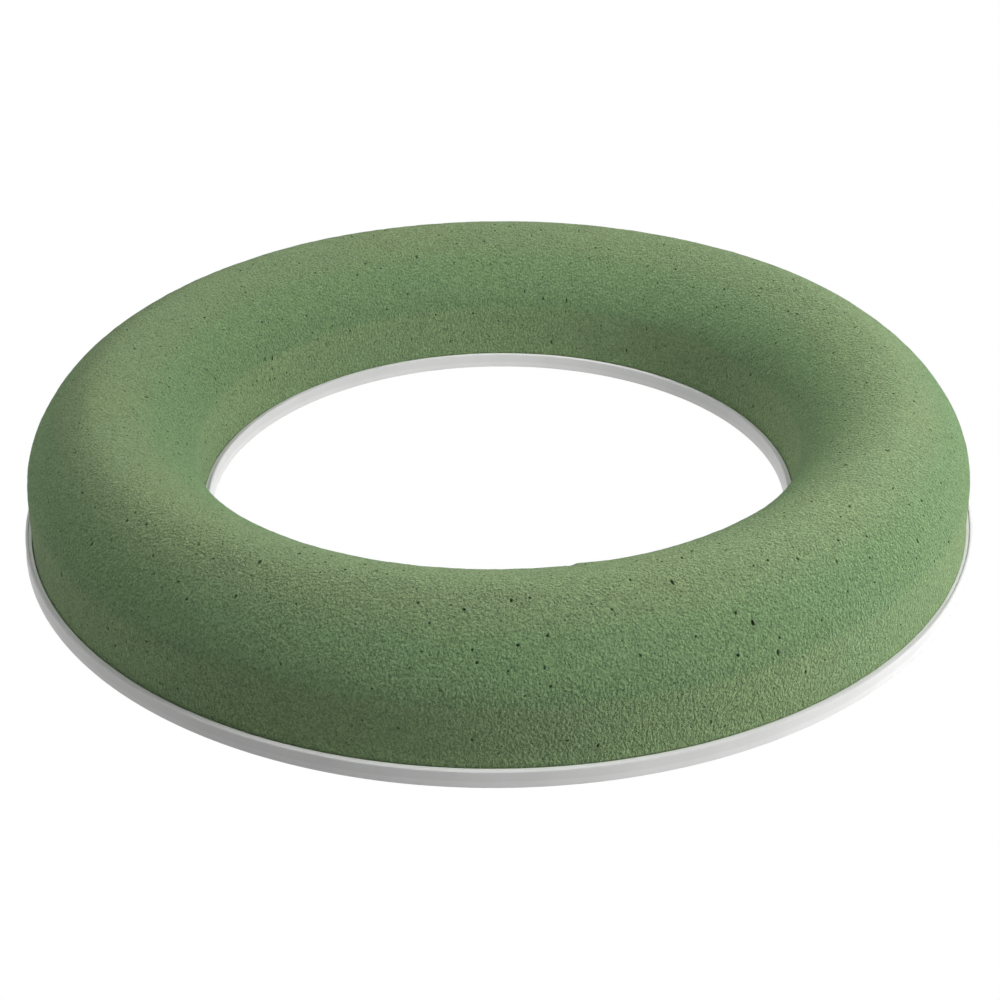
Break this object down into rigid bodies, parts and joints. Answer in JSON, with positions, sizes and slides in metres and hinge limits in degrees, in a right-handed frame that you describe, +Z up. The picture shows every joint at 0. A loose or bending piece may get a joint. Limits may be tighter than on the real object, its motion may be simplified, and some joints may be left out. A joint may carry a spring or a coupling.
{
  "type": "floral foam wreath ring",
  "caption": "Domed ring of green floral foam bonded into a shallow white plastic channel tray with stepped inner and outer rims.",
  "frame": {"origin": "centre of the ring, on the surface that the tray's foot rims stand on", "axes": "+Z up along the ring's axis; +X to the right and +Y to the back, which are alike because the part is round"},
  "size_m": [0.3, 0.3, 0.0443],
  "materials": {
    "floral_foam": "matte",
    "tray_plastic": "satin",
    "adhesive": "gloss"
  },
  "bodies": {
    "root": {"tray": "tray_plastic", "foam_ring": "floral_foam", "adhesive_bead_1": "adhesive", "adhesive_bead_2": "adhesive", "adhesive_bead_3": "adhesive", "adhesive_bead_4": "adhesive", "adhesive_bead_5": "adhesive", "adhesive_bead_6": "adhesive", "adhesive_bead_7": "adhesive", "adhesive_bead_8": "adhesive"}
  },
  "joints": []
}
